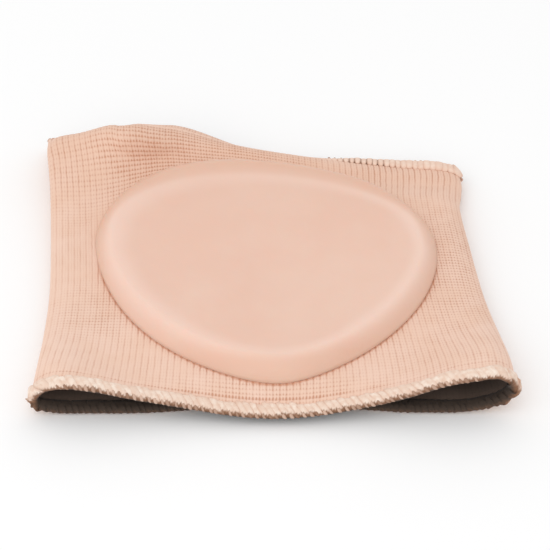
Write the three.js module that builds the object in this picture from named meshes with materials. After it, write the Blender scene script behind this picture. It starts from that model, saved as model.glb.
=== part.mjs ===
// A metatarsal sleeve: a short knitted tube that is pulled over the forefoot, with a gel pad bonded to
// its upper wall and an overlocked edging of thread round each of its two mouths. It lies on a table,
// pressed flat by the pad, with the cloth standing open at the corners.
//
// Millimetres, +X to the right, +Y from the front mouth to the rear mouth, +Z up. The origin is on the
// table, under the middle of the sleeve's box.
import * as THREE from "three";

// Driving dimensions
const SLEEVE_LENGTH = 78; // front lip to rear lip, along the cloth
const CLOTH = 1.0; // thickness of the knitted wall
const SEAT_GAP = 0.3; // clearance between a piece and the cloth that carries it
const THREAD = 0.3; // thickness of the thread that wraps an edge
const EDGING_WIDTH = 3.4; // how far the edging reaches back from the lip
const EDGING_HALF = CLOTH / 2 + SEAT_GAP + THREAD; // half the edging's thickness
const LIP_EASE = 9; // how far behind the edging the lower wall comes down to the table
const PAD = { halfWidth: 34.9, front: 38.8, rear: 25.0, thickness: 4.2, rim: 1.0, bevel: 4.4 };
const PAD_TAPER = { left: 0.05, right: 0.24 }; // how much the pad's front half narrows on each side
const PAD_CENTRE = { across: 0.51, along: 44 }; // share of the upper wall's width, mm from the front lip
const PAD_HOLD = { flat: 1.5, free: 14 }; // how far outside the pad the cloth stays flat, and is free to fold

// Mesh fineness
const AROUND = 64;
const ALONG = 22;
const CROWDING = 0.55; // how strongly the points are drawn towards the folds and the lips
const PAD_SECTORS = 44;
const PAD_SHARES = [0, 0.35, 0.6, 0.8, 0.92, 1]; // rings of the pad's flat faces, as shares of its outline
const PAD_SLOPES = [0, 30, 60, 90].map((degrees) => (degrees * Math.PI) / 180); // rings of its rounded edge
const MAP_HALF = 220; // columns of the cloth map on each wall
const MAP_ALONG = 156; // rows of the cloth map
const MAP_STEP = SLEEVE_LENGTH / MAP_ALONG;
const STEEPEST = 0.1; // least forward share of a step along the cloth
const NEAR = { around: 0.003, along: 0.8 }; // reach over which the cloth's slope is taken

// Cross-sections, front to rear. along: mm from the front lip. left, right: x of the two folds.
// foldLeft, foldRight: height of each fold. crown: height of the upper wall between them.
// overLeft, overRight: run of the upper wall's curve into each fold. underLeft, underRight: the same below.
const SECTION_COLUMNS = [
  ...["along", "left", "right", "foldLeft", "foldRight", "crown"],
  ...["overLeft", "overRight", "underLeft", "underRight"],
];
const SECTIONS = [
  [0, -45.2, 46.4, 4.4, 6.4, 4.8, 5, 5, 6.5, 12],
  [6.5, -44.9, 46.2, 4.2, 5.8, 4.8, 5, 5, 6, 9],
  [16, -44.4, 44.9, 3.8, 4.6, 4.8, 5, 5, 5, 6],
  [30, -44.2, 42.8, 3.4, 3.4, 5.0, 5, 5, 5, 5],
  [45, -45.1, 41.2, 3.6, 3.0, 5.6, 5, 5, 5, 4],
  [60, -46.5, 39.9, 5.0, 3.0, 6.3, 6, 4, 6, 4],
  [67, -47.5, 40.6, 6.0, 3.1, 6.7, 6, 3.5, 7, 3.5],
  [72, -48.3, 41.0, 5.6, 3.2, 7.9, 6, 3, 6.5, 3],
  [78, -48.7, 40.7, 3.8, 3.3, 8.2, 5, 3, 4, 3],
].map((row) => Object.fromEntries(SECTION_COLUMNS.map((name, i) => [name, row[i]])));

// Folds of the upper wall: each raises (or, below zero, lowers) the cloth by high at its peak, and fades
// out over its reach to the left and right in x, and to the front and rear along the cloth.
const FOLDS = {
  frontLeftMouth: { x: -38, along: 0, high: 3.9, left: 60, right: 28, front: 30, rear: 26 },
  frontRightMouth: { x: 41, along: 0, high: 5.2, left: 28, right: 60, front: 30, rear: 32 },
  frontDroop: { x: 1, along: 0, high: -2.4, left: 26, right: 26, front: 30, rear: 6.5 },
  rearLeftRise: { x: -46, along: 71, high: 0.9, left: 60, right: 44, front: 24, rear: 60 },
  rearHump: { x: -28, along: 71, high: 7.4, left: 21, right: 30, front: 24, rear: 60 },
  rearCurl: { x: -22, along: 82, high: -7.6, left: 400, right: 70, front: 11, rear: 60 },
  rearRightDip: { x: 34, along: 75, high: -3.6, left: 44, right: 80, front: 18, rear: 60 },
};

// Shifts of the cloth along y: the upper lip reaches forward, most of all in its middle, the lower lip is
// drawn back there, and the rear lip is cut at a slant, further back at the left than at the right, and is
// pushed back over the hump.
const START = { along: 33, y: -3.6 }; // the course of knitting that lies straight across
const UPPER_LIP = [
  { shift: -3.4, x: 1, left: 34, right: 34 },
  { shift: -1.9, x: -36, left: 10, right: 26 },
  { shift: -1.6, x: 37, left: 26, right: 10 },
];
const LOWER_LIP = [{ shift: 2.0, x: 1, left: 30, right: 30 }];
const REAR_SLANT = { shift: 5.5, width: 45, from: 38 };
const REAR_BULGE = { shift: 2.4, x: -27, left: 26, right: 44 };
const PLACE = { x: 1.08, y: -3.73 }; // brings the middle of the sleeve's box over the origin

// A smooth curve through one column of a table whose rows are ordered by along.
function column(rows, name, along) {
  const last = rows.length - 1;
  let k = 0;
  while (k < last - 1 && rows[k + 1].along <= along) k++;
  const slope = (j) => {
    const a = rows[Math.max(0, j - 1)];
    const b = rows[Math.min(last, j + 1)];
    return (b[name] - a[name]) / (b.along - a.along);
  };
  const [a, b] = [rows[k], rows[k + 1]];
  const span = b.along - a.along;
  const t = (along - a.along) / span;
  const ease = t * t * (3 - 2 * t);
  const tangents = slope(k) * t * (1 - t) * (1 - t) - slope(k + 1) * t * t * (1 - t);
  return a[name] + (b[name] - a[name]) * ease + span * tangents;
}

// A bell that is 1 at 0 and falls to 0 at the reach on either side.
function bell(distance, reachBelow, reachAbove) {
  const share = Math.min(1, Math.abs(distance) / (distance < 0 ? reachBelow : reachAbove));
  return (1 + Math.cos(Math.PI * share)) / 2;
}

// A quarter of an ellipse: 0 at a fold, 1 from the run onwards.
function quarter(distance, run) {
  const rest = Math.min(1, Math.max(0, 1 - distance / run));
  return Math.sqrt(1 - rest * rest);
}

// How free the cloth is to fold: 0 under the pad, 1 well outside it.
function padFreedom(x, along) {
  const left = column(SECTIONS, "left", PAD_CENTRE.along);
  const right = column(SECTIONS, "right", PAD_CENTRE.along);
  const across = (x - left - (right - left) * PAD_CENTRE.across) / PAD.halfWidth;
  const onward = (along - PAD_CENTRE.along) / (along < PAD_CENTRE.along ? PAD.front : PAD.rear);
  const outside = (Math.hypot(across, onward) - 1) * PAD.rear;
  const share = Math.min(1, Math.max(0, (outside - PAD_HOLD.flat) / (PAD_HOLD.free - PAD_HOLD.flat)));
  return share * share * (3 - 2 * share);
}

// Height of the upper wall away from the folds. The pad holds down what would rise, not what sinks.
function upperHeight(x, along) {
  const freedom = padFreedom(x, along);
  let height = column(SECTIONS, "crown", along);
  for (const fold of Object.values(FOLDS)) {
    const across = bell(x - fold.x, fold.left, fold.right);
    const onward = bell(along - fold.along, fold.front, fold.rear);
    height += fold.high * across * onward * (fold.high > 0 ? freedom : 1);
  }
  return height;
}

// Height of the lower wall: flat on the table, and raised near each lip by the edging below it.
function lowerHeight(along) {
  const fromLip = Math.min(along, SLEEVE_LENGTH - along);
  const near = Math.min(1, Math.max(0, 1 - (fromLip - EDGING_WIDTH) / LIP_EASE));
  return CLOTH / 2 + (EDGING_HALF - CLOTH / 2) * near * near * (3 - 2 * near);
}

// One half of a cross-section as a fine line of points from the left fold to the right fold.
function halfSection(along, upper) {
  const value = (name) => column(SECTIONS, name, along);
  const [left, right] = [value("left"), value("right")];
  const [foldLeft, foldRight] = [value("foldLeft"), value("foldRight")];
  const runLeft = value(upper ? "overLeft" : "underLeft");
  const runRight = value(upper ? "overRight" : "underRight");
  const steps = 300;
  return Array.from({ length: steps + 1 }, (_, i) => {
    const share = (1 - Math.cos((Math.PI * i) / steps)) / 2;
    const x = left + (right - left) * share;
    const fold = foldLeft + (foldRight - foldLeft) * share * share * (3 - 2 * share);
    const flat = upper ? upperHeight(x, along) : lowerHeight(along);
    const rounding = quarter(x - left, runLeft) * quarter(right - x, runRight);
    return new THREE.Vector3(x, 0, fold + (flat - fold) * rounding);
  });
}

// Evenly spaced points on a line, with both its ends.
function spaced(line, count) {
  const lengths = [0];
  for (let i = 1; i < line.length; i++) lengths.push(lengths[i - 1] + line[i].distanceTo(line[i - 1]));
  const total = lengths[lengths.length - 1];
  let i = 1;
  return Array.from({ length: count + 1 }, (_, k) => {
    const wanted = (total * k) / count;
    while (i < line.length - 1 && lengths[i] < wanted) i++;
    return line[i - 1].clone().lerp(line[i], (wanted - lengths[i - 1]) / (lengths[i] - lengths[i - 1]));
  });
}

// How far a point is shifted along y.
function lipShift(x, along, upper) {
  const toFront = Math.max(0, 1 - along / START.along);
  let forward = 0;
  for (const lip of upper ? UPPER_LIP : LOWER_LIP) {
    forward += lip.shift * bell(x - lip.x, lip.left, lip.right) * toFront * toFront;
  }
  const toRear = Math.max(0, (along - REAR_SLANT.from) / (SLEEVE_LENGTH - REAR_SLANT.from));
  const slant = (-REAR_SLANT.shift * x) / REAR_SLANT.width;
  const bulge = upper ? REAR_BULGE.shift * bell(x - REAR_BULGE.x, REAR_BULGE.left, REAR_BULGE.right) : 0;
  return forward + (slant + bulge) * toRear * toRear;
}

// The middle of the cloth as a fine map: map[k][i] is k steps from the front lip and i steps round the
// mouth, from the left fold over the top to the right fold and back below. Each line of stitches keeps
// its length, so where the cloth rises steeply its lips draw in.
function clothMap() {
  const map = Array.from({ length: MAP_ALONG + 1 }, (_, k) => {
    const along = k * MAP_STEP;
    const over = spaced(halfSection(along, true), MAP_HALF);
    const under = spaced(halfSection(along, false), MAP_HALF).reverse();
    return [...over.slice(0, MAP_HALF), ...under.slice(0, MAP_HALF)];
  });
  const start = Math.round(START.along / MAP_STEP);
  for (let i = 0; i < 2 * MAP_HALF; i++) {
    map[start][i].y = START.y;
    for (const sign of [1, -1]) {
      for (let k = start + sign; k >= 0 && k <= MAP_ALONG; k += sign) {
        const [a, b] = [map[k - sign][i], map[k][i]];
        const flat = MAP_STEP ** 2 - (b.x - a.x) ** 2 - (b.z - a.z) ** 2;
        b.y = a.y + sign * Math.sqrt(Math.max(flat, (MAP_STEP * STEEPEST) ** 2));
      }
    }
  }
  map.forEach((row, k) => {
    row.forEach((p, i) => {
      p.y += PLACE.y + lipShift(p.x, k * MAP_STEP, i <= MAP_HALF);
      p.x += PLACE.x;
    });
  });
  return map;
}

const MAP = clothMap();

// The middle of the cloth at a share of the way round and a distance from the front lip.
function middle(around, along) {
  const columns = 2 * MAP_HALF;
  const across = (((around % 1) + 1) % 1) * columns;
  const i = Math.floor(across) % columns;
  const k = Math.min(MAP_ALONG - 1, Math.max(0, Math.floor(along / MAP_STEP)));
  const mix = (row) => row[i].clone().lerp(row[(i + 1) % columns], across - Math.floor(across));
  return mix(MAP[k]).lerp(mix(MAP[k + 1]), along / MAP_STEP - k);
}

// A point off the cloth: height along its outward direction, and beyond a lip along the cloth.
function clothPoint(around, along, height) {
  const inside = Math.min(SLEEVE_LENGTH, Math.max(0, along));
  const [before, after] = [Math.max(0, inside - NEAR.along), Math.min(SLEEVE_LENGTH, inside + NEAR.along)];
  const rear = middle(around, after).sub(middle(around, before)).normalize();
  const round = middle(around + NEAR.around, inside).sub(middle(around - NEAR.around, inside));
  const out = round.cross(rear).normalize();
  return middle(around, inside).addScaledVector(out, height).addScaledVector(rear, along - inside);
}

// Skins a list of rings into one closed body, with each patch split along its shorter diagonal. With closed
// true the last ring joins the first, as in a hoop; otherwise the end rings are each one point repeated.
function skin(rings, closed) {
  const count = rings[0].length;
  const points = rings.flat();
  const faces = [];
  const joins = closed ? rings.length : rings.length - 1;
  for (let j = 0; j < joins; j++) {
    const next = (j + 1) % rings.length;
    for (let i = 0; i < count; i++) {
      const [a, b] = [j * count + i, j * count + ((i + 1) % count)];
      const [c, d] = [next * count + i, next * count + ((i + 1) % count)];
      const forward = points[a].distanceTo(points[d]) < points[b].distanceTo(points[c]);
      if (!closed && j === 0) faces.push(a, d, c);
      else if (!closed && j === joins - 1) faces.push(a, b, c);
      else if (forward) faces.push(a, b, d, a, d, c);
      else faces.push(a, b, c, b, d, c);
    }
  }
  const geometry = new THREE.BufferGeometry().setFromPoints(points);
  geometry.setIndex(faces);
  geometry.computeVertexNormals();
  return geometry;
}

// Shares from 0 to 1, closer together near both ends.
function crowdedShares(count) {
  return Array.from({ length: count + 1 }, (_, i) => {
    const t = i / count;
    const crowded = (1 - Math.cos(Math.PI * t)) / 2;
    return t + (crowded - t) * CROWDING;
  });
}

// Shares of the way round a mouth, closer together near the two folds.
const HALF_SHARES = crowdedShares(AROUND / 2).slice(0, -1);
const AROUNDS = [0, 1].flatMap((wall) => HALF_SHARES.map((share) => (wall + share) / 2));

// A ring round the cloth at a distance from the front lip and a height off the middle of the cloth.
function ring(along, height) {
  return AROUNDS.map((around) => clothPoint(around, along, height));
}

// The knitted tube: its outer face from the front lip, then its inner face back to the front lip.
function sleeveGeometry() {
  const between = SLEEVE_LENGTH - 2 * EDGING_WIDTH;
  const middles = crowdedShares(ALONG - 4).map((share) => EDGING_WIDTH + share * between);
  const alongs = [0, EDGING_WIDTH / 2, ...middles, SLEEVE_LENGTH - EDGING_WIDTH / 2, SLEEVE_LENGTH];
  const outer = alongs.map((along) => ring(along, CLOTH / 2));
  const inner = alongs.map((along) => ring(along, -CLOTH / 2));
  return skin([...outer, ...inner.reverse()], true);
}

// A thread edging: a channel that wraps over one lip. beyond is the distance past the lip.
function edgingGeometry(rear) {
  const outside = EDGING_HALF;
  const inside = CLOTH / 2 + SEAT_GAP;
  const nose = SEAT_GAP + THREAD;
  const section = [
    { beyond: -EDGING_WIDTH, height: inside },
    { beyond: -EDGING_WIDTH, height: outside },
    { beyond: -EDGING_WIDTH / 2, height: outside },
    { beyond: 0, height: outside },
    { beyond: nose, height: outside / 2 },
    { beyond: nose, height: -outside / 2 },
    { beyond: 0, height: -outside },
    { beyond: -EDGING_WIDTH / 2, height: -outside },
    { beyond: -EDGING_WIDTH, height: -outside },
    { beyond: -EDGING_WIDTH, height: -inside },
    { beyond: -EDGING_WIDTH / 2, height: -inside },
    { beyond: 0, height: -inside },
    { beyond: SEAT_GAP, height: -inside },
    { beyond: SEAT_GAP, height: inside },
    { beyond: 0, height: inside },
    { beyond: -EDGING_WIDTH / 2, height: inside },
  ];
  const rings = section.map((p) => ring(rear ? SLEEVE_LENGTH + p.beyond : -p.beyond, p.height));
  return skin(rear ? rings : rings.reverse(), true);
}

// The pad's outline, across and along the cloth from the pad's centre: an ellipse whose front half tapers.
function padOutline(angle) {
  const [c, s] = [Math.cos(angle), Math.sin(angle)];
  const taper = c < 0 ? PAD_TAPER.left : PAD_TAPER.right;
  const across = PAD.halfWidth * c * (s < 0 ? 1 - taper * s * s : 1);
  const along = s * (s < 0 ? PAD.front : PAD.rear);
  return { across, along, radius: Math.hypot(across, along) };
}

// The gel pad: it follows the cloth below it, and its top falls to a rounded edge all round.
function padGeometry() {
  const width = column(SECTIONS, "right", PAD_CENTRE.along) - column(SECTIONS, "left", PAD_CENTRE.along);
  const under = CLOTH / 2 + SEAT_GAP;
  const padRing = (share, inset, height) =>
    Array.from({ length: PAD_SECTORS }, (_, i) => {
      const edge = padOutline((2 * Math.PI * i) / PAD_SECTORS);
      const size = share * (1 - inset / edge.radius);
      const around = (PAD_CENTRE.across + (edge.across * size) / width) / 2;
      return clothPoint(around, PAD_CENTRE.along + edge.along * size, height);
    });
  const rings = PAD_SHARES.map((share) => padRing(share, 0, under));
  for (const slope of PAD_SLOPES) {
    const rise = PAD.rim + (PAD.thickness - PAD.rim) * Math.sin(slope);
    rings.push(padRing(1, PAD.bevel * (1 - Math.cos(slope)), under + rise));
  }
  for (const share of [...PAD_SHARES].reverse().slice(1)) {
    rings.push(padRing(share, PAD.bevel, under + PAD.thickness));
  }
  return skin(rings, false);
}

const knit = new THREE.MeshStandardMaterial({ color: 0xeac2a6, roughness: 0.9, metalness: 0 });
const gel = new THREE.MeshStandardMaterial({ color: 0xeac6b2, roughness: 0.45, metalness: 0 });
const thread = new THREE.MeshStandardMaterial({ color: 0xf3dccb, roughness: 0.75, metalness: 0 });

function piece(name, geometry, material) {
  const mesh = new THREE.Mesh(geometry, material);
  mesh.name = name;
  return mesh;
}

const sleeve = new THREE.Group();
sleeve.add(piece("knit_sleeve", sleeveGeometry(), knit));
sleeve.add(piece("gel_pad", padGeometry(), gel));
sleeve.add(piece("front_edging", edgingGeometry(false), thread));
sleeve.add(piece("rear_edging", edgingGeometry(true), thread));

export default sleeve;
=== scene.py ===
import math

import bpy
import numpy as np
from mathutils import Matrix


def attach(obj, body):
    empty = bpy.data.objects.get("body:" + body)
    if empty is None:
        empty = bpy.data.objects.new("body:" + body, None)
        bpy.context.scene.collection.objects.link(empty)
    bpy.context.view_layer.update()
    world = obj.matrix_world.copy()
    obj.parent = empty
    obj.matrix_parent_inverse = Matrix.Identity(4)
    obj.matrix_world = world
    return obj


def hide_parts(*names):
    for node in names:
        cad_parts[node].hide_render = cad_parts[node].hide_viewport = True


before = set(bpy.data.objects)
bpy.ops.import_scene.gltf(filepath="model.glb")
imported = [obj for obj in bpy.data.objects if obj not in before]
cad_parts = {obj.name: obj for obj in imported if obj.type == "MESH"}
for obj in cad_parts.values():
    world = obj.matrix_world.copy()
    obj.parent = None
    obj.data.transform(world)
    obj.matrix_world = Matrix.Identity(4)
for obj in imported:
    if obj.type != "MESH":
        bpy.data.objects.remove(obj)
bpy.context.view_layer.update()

MM = 0.001
rng = np.random.default_rng(7)


def table(columns, *rows):
    """Rows of values, each as a dictionary with the names of the columns."""
    return [dict(zip(columns.split(), row)) for row in rows]


# Driving dimensions, the same as the part's
SLEEVE_LENGTH = 78.0
CLOTH = 1.0
EDGING_WIDTH = 3.4
EDGING_HALF = 1.1
LIP_EASE = 9.0
PAD_HALF_WIDTH = 34.9
PAD_FRONT = 38.8
PAD_REAR = 25.0
PAD_TAPER_LEFT = 0.05
PAD_TAPER_RIGHT = 0.24
PAD_THICKNESS = 4.2
PAD_BEVEL = 4.4
PAD_ACROSS = 0.51
PAD_ALONG = 44.0
PAD_FLAT = 1.5
PAD_FREE = 14.0
START_ALONG = 33.0
START_Y = -3.6
REAR_SLANT_SHIFT = 5.5
REAR_SLANT_WIDTH = 45.0
REAR_SLANT_FROM = 38.0
PLACE_X = 1.08
PLACE_Y = -3.73

# Cross-sections of the cloth, front to rear. With the folds, they give the part's shape within 2 mm.
SECTIONS = {
    "along": [0, 6.5, 16, 30, 45, 60, 67, 72, 78],
    "left": [-45.2, -44.9, -44.4, -44.2, -45.1, -46.5, -47.5, -48.3, -48.7],
    "right": [46.4, 46.2, 44.9, 42.8, 41.2, 39.9, 40.6, 41.0, 40.7],
    "fold_left": [3.4, 3.4, 3.4, 3.4, 3.6, 5.0, 6.0, 5.4, 3.3],
    "fold_right": [6.4, 5.8, 4.6, 3.4, 3.0, 2.9, 2.5, 2.2, 1.9],
    "crown": [4.8, 4.8, 4.8, 5.0, 5.6, 6.3, 6.7, 7.9, 8.2],
    "over_left": [9, 8, 6, 5, 5, 6, 6, 6, 5],
    "over_right": [5, 5, 5, 5, 5, 4.5, 5, 6, 7.5],
    "under_left": [6.5, 6, 5, 5, 5, 6, 7, 6.5, 4],
    "under_right": [12, 9, 6, 5, 4, 4, 3.5, 3, 3],
}

# Folds of the upper wall: peak place and height, and reach to each side
FOLDS = table(
    "x along high left right front rear",
    (-38, 0, 3.9, 60, 28, 30, 26),
    (41, 0, 5.2, 28, 60, 30, 32),
    (1, 0, -2.4, 26, 26, 30, 6.5),
    (-46, 71, 1.7, 60, 26, 24, 60),
    (-27, 71, 7.7, 18, 30, 24, 60),
    (-22, 82, -7.6, 400, 70, 11, 60),
    (34, 75, -3.6, 44, 80, 18, 60),
)

# Shifts towards the rear, of the front lip of each wall and of the rear lip of the upper wall
UPPER_LIP = table(
    "shift x left right",
    (-3.4, 1, 34, 34),
    (-1.9, -36, 10, 26),
    (-1.6, 37, 26, 10),
)
LOWER_LIP = table("shift x left right", (2.0, 1, 30, 30))
REAR_BULGE = {"shift": 2.4, "x": -27, "left": 26, "right": 44}

# Knit: ribs run front to rear, each two stitches wide, and rows of stitches run round
RIBS = 144
HALF_RIBS = RIBS // 2
ROWS = 94

# Fineness of the cloth map
MAP_HALF = 220
MAP_ALONG = 156
MAP_STEP = SLEEVE_LENGTH / MAP_ALONG
SECTION_STEPS = 300
STEEPEST = 0.1
RISE_SHARE = 0.4
NEAR_AROUND = 0.003
NEAR_ALONG = 0.8


def smoothstep(share):
    share = np.clip(share, 0, 1)
    return share * share * (3 - 2 * share)


def column(name, along):
    """A smooth curve through one column of the sections."""
    rows = np.array(SECTIONS["along"], float)
    values = np.array(SECTIONS[name], float)
    last = len(rows) - 1
    before = np.maximum(np.arange(last + 1) - 1, 0)
    after = np.minimum(np.arange(last + 1) + 1, last)
    slopes = (values[after] - values[before]) / (rows[after] - rows[before])
    k = np.clip(np.searchsorted(rows, along, side="right") - 1, 0, last - 1)
    span = rows[k + 1] - rows[k]
    share = (along - rows[k]) / span
    ease = share * share * (3 - 2 * share)
    tangents = slopes[k] * share * (1 - share) ** 2 - slopes[k + 1] * share * share * (1 - share)
    return values[k] + (values[k + 1] - values[k]) * ease + span * tangents


def bell(distance, below, above):
    """1 at 0, falling to 0 at the reach on either side."""
    share = np.abs(distance) / np.where(distance < 0, below, above)
    return (1 + np.cos(np.pi * np.minimum(share, 1))) / 2


def quarter(distance, run):
    """A quarter of an ellipse: 0 at a fold, 1 from the run onwards."""
    rest = np.clip(1 - distance / run, 0, 1)
    return np.sqrt(1 - rest * rest)


def pad_freedom(x, along):
    """How free the cloth is to fold: 0 under the pad, 1 well outside it."""
    left = column("left", PAD_ALONG)
    right = column("right", PAD_ALONG)
    across = (x - left - (right - left) * PAD_ACROSS) / PAD_HALF_WIDTH
    onward = (along - PAD_ALONG) / (PAD_FRONT if along < PAD_ALONG else PAD_REAR)
    outside = (np.hypot(across, onward) - 1) * PAD_REAR
    return smoothstep((outside - PAD_FLAT) / (PAD_FREE - PAD_FLAT))


def upper_height(x, along):
    freedom = pad_freedom(x, along)
    height = column("crown", along) + 0 * x
    for fold in FOLDS:
        across = bell(x - fold["x"], fold["left"], fold["right"])
        onward = bell(along - fold["along"], fold["front"], fold["rear"])
        height = height + fold["high"] * across * onward * (freedom if fold["high"] > 0 else 1)
    return height


def lower_height(along):
    from_lip = min(along, SLEEVE_LENGTH - along)
    near = smoothstep(1 - (from_lip - EDGING_WIDTH) / LIP_EASE)
    return CLOTH / 2 + (EDGING_HALF - CLOTH / 2) * near


def half_section(along, upper):
    """One wall's cross-section, from the left fold to the right fold."""
    left = column("left", along)
    right = column("right", along)
    share = (1 - np.cos(np.linspace(0, np.pi, SECTION_STEPS + 1))) / 2
    x = left + (right - left) * share
    fold = column("fold_left", along)
    fold = fold + (column("fold_right", along) - fold) * smoothstep(share)
    flat = upper_height(x, along) if upper else lower_height(along)
    side = "over" if upper else "under"
    rounding = quarter(x - left, column(side + "_left", along))
    rounding = rounding * quarter(right - x, column(side + "_right", along))
    return np.stack([x, 0 * x, fold + (flat - fold) * rounding], axis=1)


def spaced(line, count):
    """Points on a line with both its ends, evenly spaced if its rises count for a share of their length."""
    steps = np.linalg.norm(np.diff(line, axis=0) * (1, 1, RISE_SHARE), axis=1)
    lengths = np.concatenate([[0], np.cumsum(steps)])
    wanted = np.linspace(0, lengths[-1], count + 1)
    return np.stack([np.interp(wanted, lengths, line[:, i]) for i in range(3)], axis=1)


def lip_shift(x, along, upper):
    to_front = max(0, 1 - along / START_ALONG)
    at_front = 0
    for lip in UPPER_LIP if upper else LOWER_LIP:
        at_front = at_front + lip["shift"] * bell(x - lip["x"], lip["left"], lip["right"])
    to_rear = max(0, (along - REAR_SLANT_FROM) / (SLEEVE_LENGTH - REAR_SLANT_FROM))
    at_rear = -REAR_SLANT_SHIFT * x / REAR_SLANT_WIDTH
    if upper:
        bulge = bell(x - REAR_BULGE["x"], REAR_BULGE["left"], REAR_BULGE["right"])
        at_rear = at_rear + REAR_BULGE["shift"] * bulge
    return at_front * to_front**2 + at_rear * to_rear**2


def cloth_map():
    """The middle of the cloth: rows from the front lip, columns round from the left fold over the top."""
    rows = []
    for k in range(MAP_ALONG + 1):
        over = spaced(half_section(k * MAP_STEP, True), MAP_HALF)
        under = spaced(half_section(k * MAP_STEP, False), MAP_HALF)[::-1]
        rows.append(np.concatenate([over[:-1], under[:-1]]))
    points = np.array(rows)
    start = round(START_ALONG / MAP_STEP)
    points[start, :, 1] = START_Y
    for sign, stop in ((1, MAP_ALONG + 1), (-1, -1)):
        for k in range(start + sign, stop, sign):
            step = points[k] - points[k - sign]
            flat = MAP_STEP**2 - step[:, 0] ** 2 - step[:, 2] ** 2
            onward = np.sqrt(np.maximum(flat, (MAP_STEP * STEEPEST) ** 2))
            points[k, :, 1] = points[k - sign, :, 1] + sign * onward
    for k in range(MAP_ALONG + 1):
        for upper, part in ((True, slice(0, MAP_HALF + 1)), (False, slice(MAP_HALF + 1, None))):
            x = points[k, part, 0]
            points[k, part, 1] += PLACE_Y + lip_shift(x, k * MAP_STEP, upper)
    points[:, :, 0] += PLACE_X
    return points


MAP = cloth_map()


def cubic_weights(share):
    """Weights of four neighbours for a smooth curve through the middle two."""
    return [
        ((2 - share) * share - 1) * share / 2,
        ((3 * share - 5) * share * share + 2) / 2,
        ((4 - 3 * share) * share + 1) * share / 2,
        (share - 1) * share * share / 2,
    ]


def middle(around, along):
    """Points of the cloth's middle at shares of the way round and distances from the front lip."""
    columns = 2 * MAP_HALF
    across = (around % 1) * columns
    i = np.floor(across).astype(int)
    onward = np.clip(along / MAP_STEP, 0, MAP_ALONG)
    k = np.clip(np.floor(onward).astype(int), 0, MAP_ALONG - 1)
    total = 0
    for m, row_weight in enumerate(cubic_weights(onward - k)):
        row = np.clip(k + m - 1, 0, MAP_ALONG)
        for n, column_weight in enumerate(cubic_weights(across - i)):
            point = MAP[row, (i + n - 1) % columns]
            total = total + (row_weight * column_weight)[..., None] * point
    return total


def unit(vectors):
    return vectors / np.linalg.norm(vectors, axis=-1, keepdims=True)


def cloth_axes(around, along):
    """Directions at points of the cloth: round the sleeve, to the rear, and outward."""
    before = np.maximum(along - NEAR_ALONG, 0)
    after = np.minimum(along + NEAR_ALONG, SLEEVE_LENGTH)
    rear = unit(middle(around, after) - middle(around, before))
    round_it = unit(middle(around + NEAR_AROUND, along) - middle(around - NEAR_AROUND, along))
    out = unit(np.cross(round_it, rear))
    return round_it, rear, out


def cloth_point(around, along, height):
    """A point off the cloth: height along its outward direction, and beyond a lip along the cloth."""
    around, along, height = np.broadcast_arrays(around, along, height)
    inside = np.clip(along, 0, SLEEVE_LENGTH)
    _, rear, out = cloth_axes(around, inside)
    beyond = (along - inside)[..., None]
    return middle(around, inside) + out * height[..., None] + rear * beyond


def across_share(around):
    """Share of the sleeve's width, 0 at the left fold, on either wall."""
    return np.where(around <= 0.5, 2 * around, 2 * (1 - around))


def grid_faces(rows, columns, first=0):
    """Quads of a grid whose last column joins its first."""
    j, i = np.meshgrid(np.arange(rows - 1), np.arange(columns), indexing="ij")
    right = (i + 1) % columns
    corners = [j * columns + i, j * columns + right, (j + 1) * columns + right, (j + 1) * columns + i]
    return first + np.stack(corners, axis=-1).reshape(-1, 4)


def mesh_piece(name, points, faces, materials, face_materials=None, uvs=None, values=None):
    """A smooth mesh object from points in millimetres."""
    mesh = bpy.data.meshes.new(name)
    mesh.from_pydata((points * MM).tolist(), [], [list(face) for face in faces])
    for material in materials:
        mesh.materials.append(material)
    mesh.polygons.foreach_set("use_smooth", [True] * len(mesh.polygons))
    if face_materials is not None:
        mesh.polygons.foreach_set("material_index", face_materials)
    if uvs is not None:
        layer = mesh.uv_layers.new(name="knit")
        layer.data.foreach_set("uv", np.asarray(uvs, np.float32).ravel())
    for key, value in (values or {}).items():
        attribute = mesh.attributes.new(key, "FLOAT", "POINT")
        attribute.data.foreach_set("value", np.asarray(value, np.float32))
    mesh.update()
    piece = bpy.data.objects.new(name, mesh)
    bpy.context.scene.collection.objects.link(piece)
    return piece


# Materials: noise scales are per metre, and a ramp rises from its first value to its second
SOFT_RAMP = (0.3, 0.7)
FINE_DETAIL = 3.0
YARN_BUMP = {"strength": 0.4, "distance": 0.0002}

# Outer knit: pale and deep tones at random, darker towards the rear, with painted shade in the grooves
KNIT_OUTSIDE = {
    "pale": (0.875, 0.63, 0.51, 1),
    "deep": (0.855, 0.60, 0.47, 1),
    "rear": (0.79, 0.50, 0.36, 1),
    "groove": (0.56, 0.25, 0.15, 1),
}
# Inner face: the same knit, darkened to brown and near black as painted shade for the shadowed inside of
# the sleeve
KNIT_INSIDE_PAINTED_SHADE = {
    "pale": (0.17, 0.12, 0.095, 1),
    "deep": (0.15, 0.105, 0.08, 1),
    "rear": (0.15, 0.105, 0.08, 1),
    "groove": (0.07, 0.05, 0.04, 1),
}
KNIT_SURFACE = {"Roughness": 0.9, "Specular IOR Level": 0.15, "Sheen Weight": 0.15, "Sheen Roughness": 0.5}
TONE_SCALE = 140.0
REAR_SHARE = 0.45
GROOVE_SHADE_SHARE = 0.8
FIBRE_SCALE = 2600.0
FIBRE_HEIGHT = 0.4

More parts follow.
